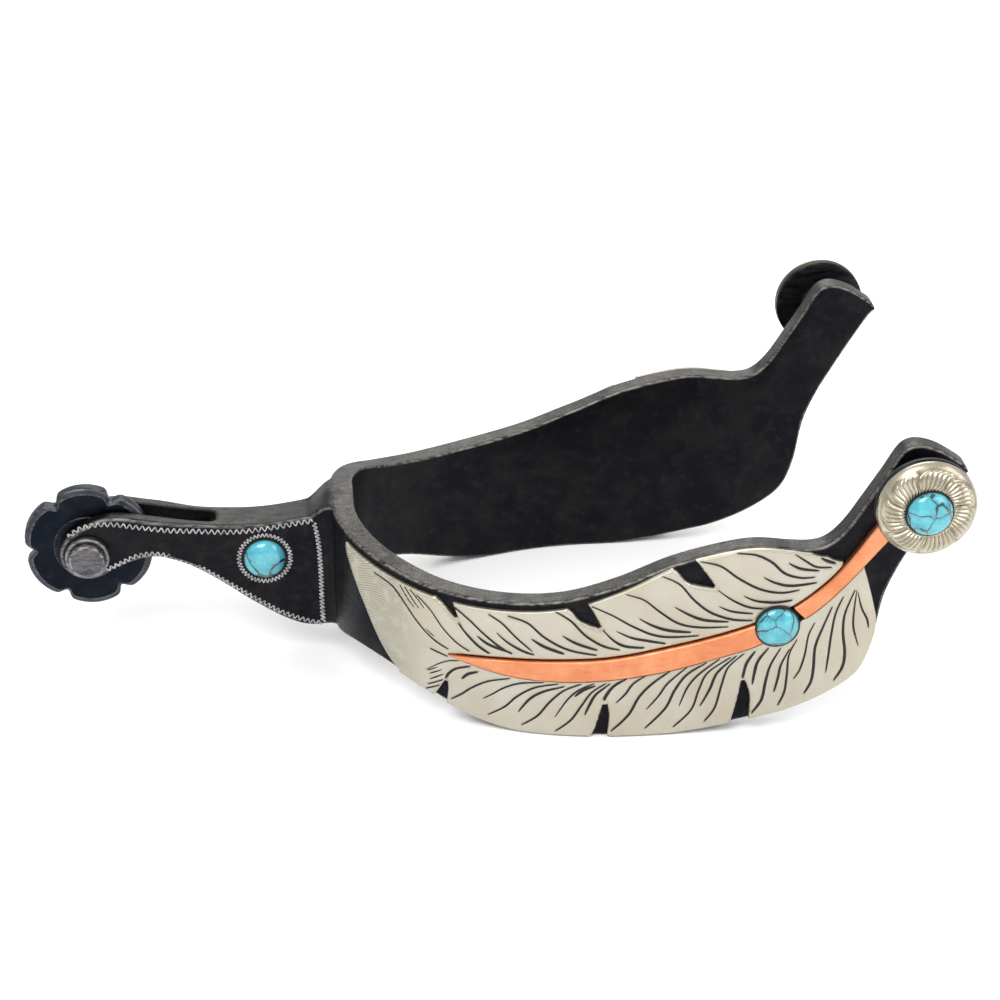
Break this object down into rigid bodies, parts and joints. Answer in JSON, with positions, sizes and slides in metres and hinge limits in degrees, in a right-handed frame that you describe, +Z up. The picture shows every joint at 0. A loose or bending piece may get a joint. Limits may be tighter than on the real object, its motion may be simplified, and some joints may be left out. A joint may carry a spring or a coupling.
{
  "type": "riding spur",
  "caption": "Western spur: a U-shaped steel heel band with feather overlays, a forked shank with a free-spinning lobed rowel, and fixed strap buttons set with turquoise.",
  "frame": {"origin": "inner face of the heel band, at the middle of the flat at the back of the heel", "axes": "+X from the heel towards the open end of the U, +Z up, -Y the near side; the spur stands on its lower edge at z = -22 mm"},
  "size_m": [0.1754, 0.1068, 0.0594],
  "materials": {
    "blued_steel": "blued and browned steel, worn to grey along its edges",
    "rowel_steel": "dark blued steel, lighter at the bevelled rim",
    "pin_steel": "bare, pitted grey steel",
    "nickel_silver": "engraved nickel silver, satin, with blackened cuts",
    "copper": "satin copper with a bright bevel",
    "turquoise": "polished turquoise with dark matrix veins"
  },
  "bodies": {
    "spur_frame": {"heel_band": "blued_steel", "shank": "blued_steel", "rowel_pin": "pin_steel", "pin_washer_near": "pin_steel", "feather_near": "nickel_silver", "quill_blade_near": "copper", "quill_stem_near": "copper", "quill_stone_near": "turquoise", "shank_stone_near": "turquoise", "button_post_near": "blued_steel", "button_disc_near": "blued_steel", "button_concho_near": "nickel_silver", "button_stone_near": "turquoise", "pin_washer_far": "pin_steel", "feather_far": "nickel_silver", "quill_blade_far": "copper", "quill_stem_far": "copper", "quill_stone_far": "turquoise", "shank_stone_far": "turquoise", "button_post_far": "blued_steel", "button_disc_far": "blued_steel", "button_concho_far": "nickel_silver", "button_stone_far": "turquoise"},
    "rowel": {"rowel": "rowel_steel"}
  },
  "joints": [
    {"name": "rowel_spin", "type": "hinge", "parent": "spur_frame", "child": "rowel", "pos_m": [-0.0521, 0, 0.0024], "axis": [0, 1, 0], "continuous": true}
  ]
}
